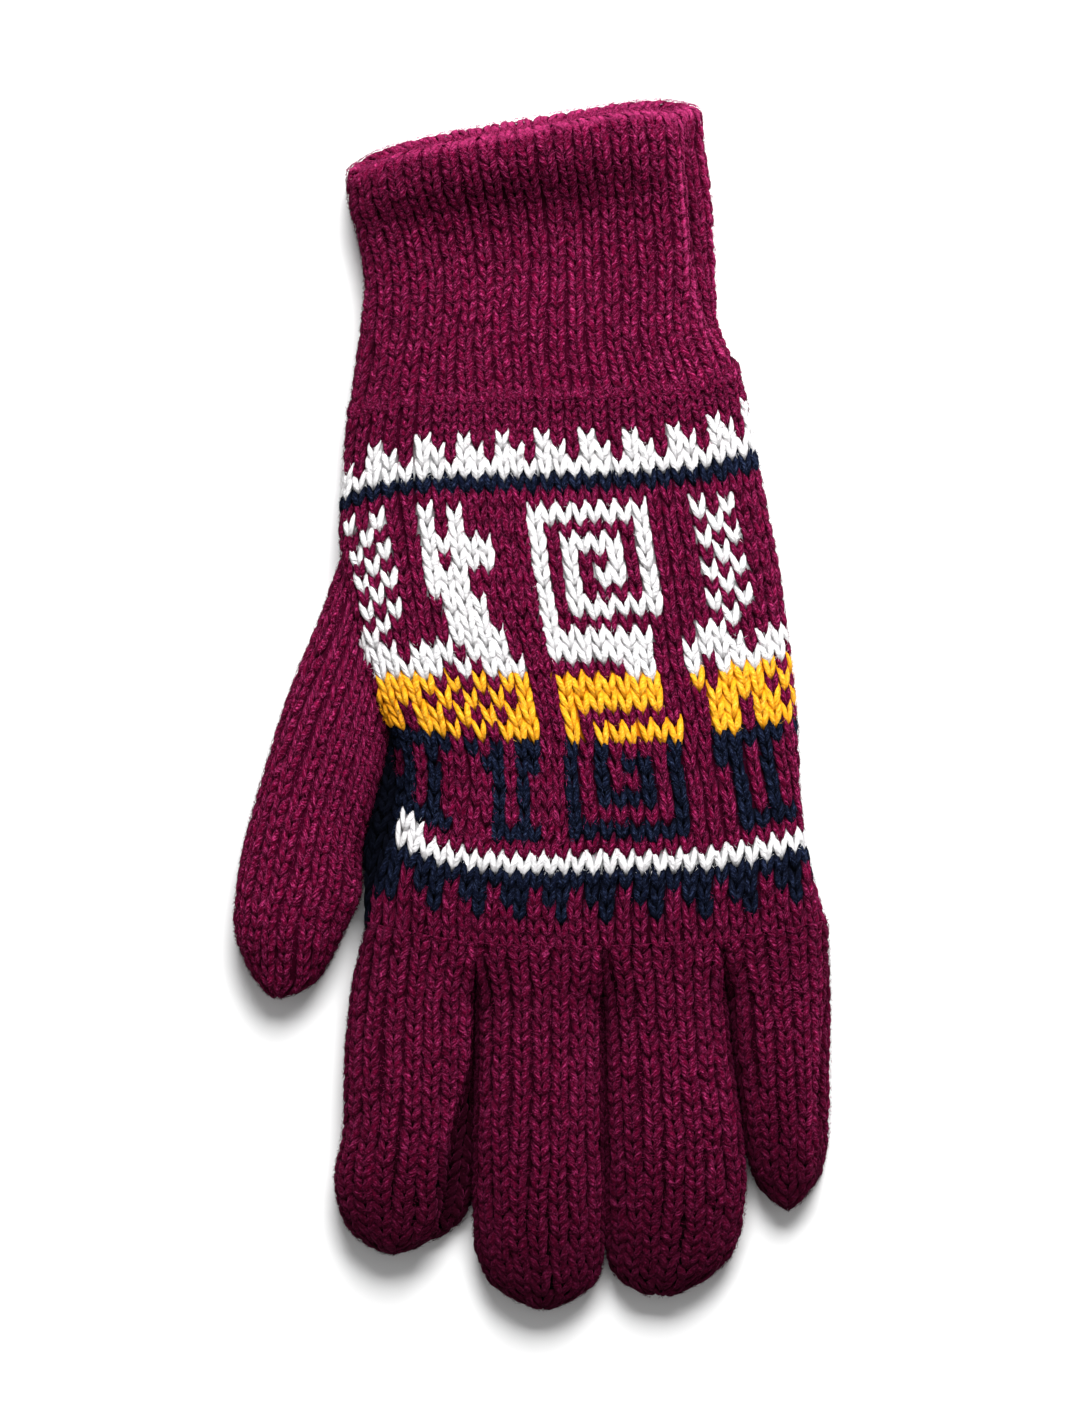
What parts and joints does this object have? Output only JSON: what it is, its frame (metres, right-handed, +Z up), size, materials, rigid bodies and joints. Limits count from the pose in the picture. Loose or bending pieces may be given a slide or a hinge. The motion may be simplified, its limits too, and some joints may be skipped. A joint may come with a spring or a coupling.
{
  "type": "wool glove",
  "caption": "Knitted wool glove for a left hand, lying flat back up, with an open cuff, closed fingers and a band of traditional Andean colourwork.",
  "frame": {"origin": "on the surface the glove rests on, under the middle of the palm", "axes": "+X from the thumb to the little finger, +Y from the fingertips to the cuff, +Z up out of the back of the hand"},
  "size_m": [0.1283, 0.2589, 0.0191],
  "materials": {
    "cuff_wool": "plain knitted burgundy wool, fuzzy and marled",
    "hand_wool": "knitted wool in burgundy, white, golden yellow and navy",
    "thumb_wool": "plain knitted burgundy wool, fuzzy and marled",
    "finger_wool": "plain knitted burgundy wool, fuzzy and marled"
  },
  "bodies": {
    "root": {"cuff": "cuff_wool", "hand": "hand_wool", "thumb": "thumb_wool", "index_finger": "finger_wool", "middle_finger": "finger_wool", "ring_finger": "finger_wool", "little_finger": "finger_wool"}
  },
  "joints": []
}
